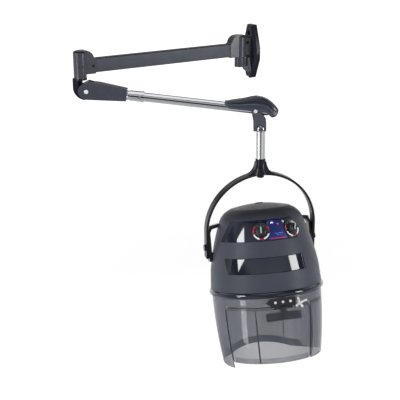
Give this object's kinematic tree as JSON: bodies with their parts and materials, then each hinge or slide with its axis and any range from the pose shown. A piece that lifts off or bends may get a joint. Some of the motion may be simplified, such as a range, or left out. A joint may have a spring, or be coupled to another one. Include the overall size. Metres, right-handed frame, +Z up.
{
  "type": "hood hair dryer",
  "caption": "Wall-mounted hood hair dryer: ventilated dome with a smoked visor and lifting flap, hung in a yoke from a two-part swing arm.",
  "frame": {"origin": "centre of the wall plate's back face, which lies on the wall", "axes": "+Y into the wall, +X to the right as seen facing the wall, +Z up"},
  "size_m": [0.6633, 0.7098, 1.088],
  "materials": {
    "black_casting": "satin black powder coat",
    "arm_grey": "satin dark grey paint",
    "chrome": "polished",
    "steel": "turned",
    "bronze": "sintered",
    "rubber": "matte",
    "cover_black": "semi-gloss moulded",
    "shell_grey": "fine moulded grain",
    "gloss_black": "polished",
    "dial_print": "printed scale",
    "label_blue": "printed film",
    "lamp_white": "moulded lens",
    "knob_black": "moulded",
    "smoked_clear": "smoked transparent plastic",
    "trim_black": "moulded",
    "inner_grey": "heat-resistant moulding",
    "mica": "pressed sheet",
    "motor_steel": "zinc coated"
  },
  "bodies": {
    "wall_bracket": {"wall_plate": "black_casting", "pivot_bracket": "black_casting", "bracket_screws": "steel", "wall_pivot_pin": "steel", "wall_thrust_washer": "bronze", "cable_grommet": "rubber"},
    "first_arm": {"wall_end_casting": "black_casting", "elbow_end_casting": "black_casting", "first_arm_tube": "arm_grey", "first_arm_screws": "steel", "arm_bushes": "bronze"},
    "elbow": {"elbow_knuckle": "black_casting", "elbow_swivel_pin": "steel", "elbow_washer": "bronze", "lift_hinge_pin": "chrome", "rod_anchor_pin": "steel"},
    "second_arm": {"arm_housing": "black_casting", "lock_nut": "chrome", "tube_collar": "chrome", "collar_screw": "steel", "second_arm_tube": "chrome", "gas_strut": "steel", "arm_end_cover": "cover_black", "head_hinge_pin": "chrome"},
    "levelling_rod": {"levelling_rod": "steel"},
    "head_bracket": {"head_bracket": "arm_grey", "levelling_pin": "steel", "stem_bolt": "chrome", "stem_tube": "chrome", "swivel_pin": "steel"},
    "yoke": {"yoke": "black_casting", "yoke_pivot_bolts": "black_casting"},
    "hood": {"hood_shell": "shell_grey", "top_cap": "trim_black", "upper_window": "gloss_black", "lower_window": "gloss_black", "dial_plates": "dial_print", "control_label": "label_blue", "neon_lamps": "lamp_white", "timer_body": "inner_grey", "heat_switch_body": "inner_grey", "ring_bead": "gloss_black", "left_side_bracket": "trim_black", "right_side_bracket": "trim_black", "inner_hood": "inner_grey", "heater_frame": "mica", "heater_coil": "steel", "fan_motor": "motor_steel", "motor_mount": "steel", "thermostat": "inner_grey", "fixed_visor": "smoked_clear", "hinge_bar": "trim_black", "hinge_bar_bolts": "chrome", "flap_hinge_pin": "steel"},
    "fan": {"fan_impeller": "motor_steel"},
    "timer_knob": {"timer_knob": "knob_black"},
    "heat_knob": {"heat_knob": "knob_black"},
    "front_flap": {"front_flap": "smoked_clear", "flap_plate": "trim_black"},
    "catch_lever": {"catch_lever": "chrome"}
  },
  "joints": [
    {"name": "wall_swing", "type": "hinge", "parent": "wall_bracket", "child": "first_arm", "pos_m": [0, -0.06, 0.01], "axis": [0, 0, 1], "range_deg": [-85, 85]},
    {"name": "elbow_swing", "type": "hinge", "parent": "first_arm", "child": "elbow", "pos_m": [0, -0.6812, 0.01], "axis": [0, 0, 1], "range_deg": [-285, 2]},
    {"name": "arm_lift", "type": "hinge", "parent": "elbow", "child": "second_arm", "pos_m": [0.01127, -0.66468, -0.069], "axis": [0.8262, -0.5634, 0], "range_deg": [-25, 24]},
    {"name": "levelling_rod_swing", "type": "hinge", "parent": "elbow", "child": "levelling_rod", "pos_m": [0.01127, -0.66468, -0.059], "axis": [0.8262, -0.5634, 0], "range_deg": [-25, 24]},
    {"name": "head_level", "type": "hinge", "parent": "second_arm", "child": "head_bracket", "pos_m": [0.31886, -0.21359, -0.12648], "axis": [0.8262, -0.5634, 0], "range_deg": [-24, 25]},
    {"name": "hood_swivel", "type": "hinge", "parent": "head_bracket", "child": "yoke", "pos_m": [0.32844, -0.19954, -0.12618], "axis": [-0.0098, -0.0144, 0.9998], "range_deg": [-150, 150]},
    {"name": "hood_tilt", "type": "hinge", "parent": "yoke", "child": "hood", "pos_m": [0.33295, -0.19293, -0.58511], "axis": [0.2923, 0.9562, 0.0167], "range_deg": [-20, 30]},
    {"name": "flap_lift", "type": "hinge", "parent": "hood", "child": "front_flap", "pos_m": [0.58108, -0.27713, -0.70873], "axis": [-0.3399, -0.94, -0.0313], "range_deg": [0, 50]},
    {"name": "timer_turn", "type": "hinge", "parent": "hood", "child": "timer_knob", "pos_m": [0.45863, -0.28126, -0.49007], "axis": [0.6674, -0.5223, 0.5308], "range_deg": [0, 280]},
    {"name": "heat_turn", "type": "hinge", "parent": "hood", "child": "heat_knob", "pos_m": [0.48499, -0.18004, -0.48961], "axis": [0.8362, 0.1259, 0.5338], "range_deg": [0, 270]},
    {"name": "catch_turn", "type": "hinge", "parent": "hood", "child": "catch_lever", "pos_m": [0.59603, -0.22758, -0.6975], "axis": [-0.9, 0.3347, -0.2793], "range_deg": [-30, 30]},
    {"name": "fan_spin", "type": "hinge", "parent": "hood", "child": "fan", "pos_m": [0.35587, -0.20005, -0.5781], "axis": [-0.273, 0.0667, 0.9597], "continuous": true}
  ],
  "couplings": [
    {"joint": "levelling_rod_swing", "follows": "arm_lift", "ratio": 1},
    {"joint": "head_level", "follows": "arm_lift", "ratio": -1}
  ]
}
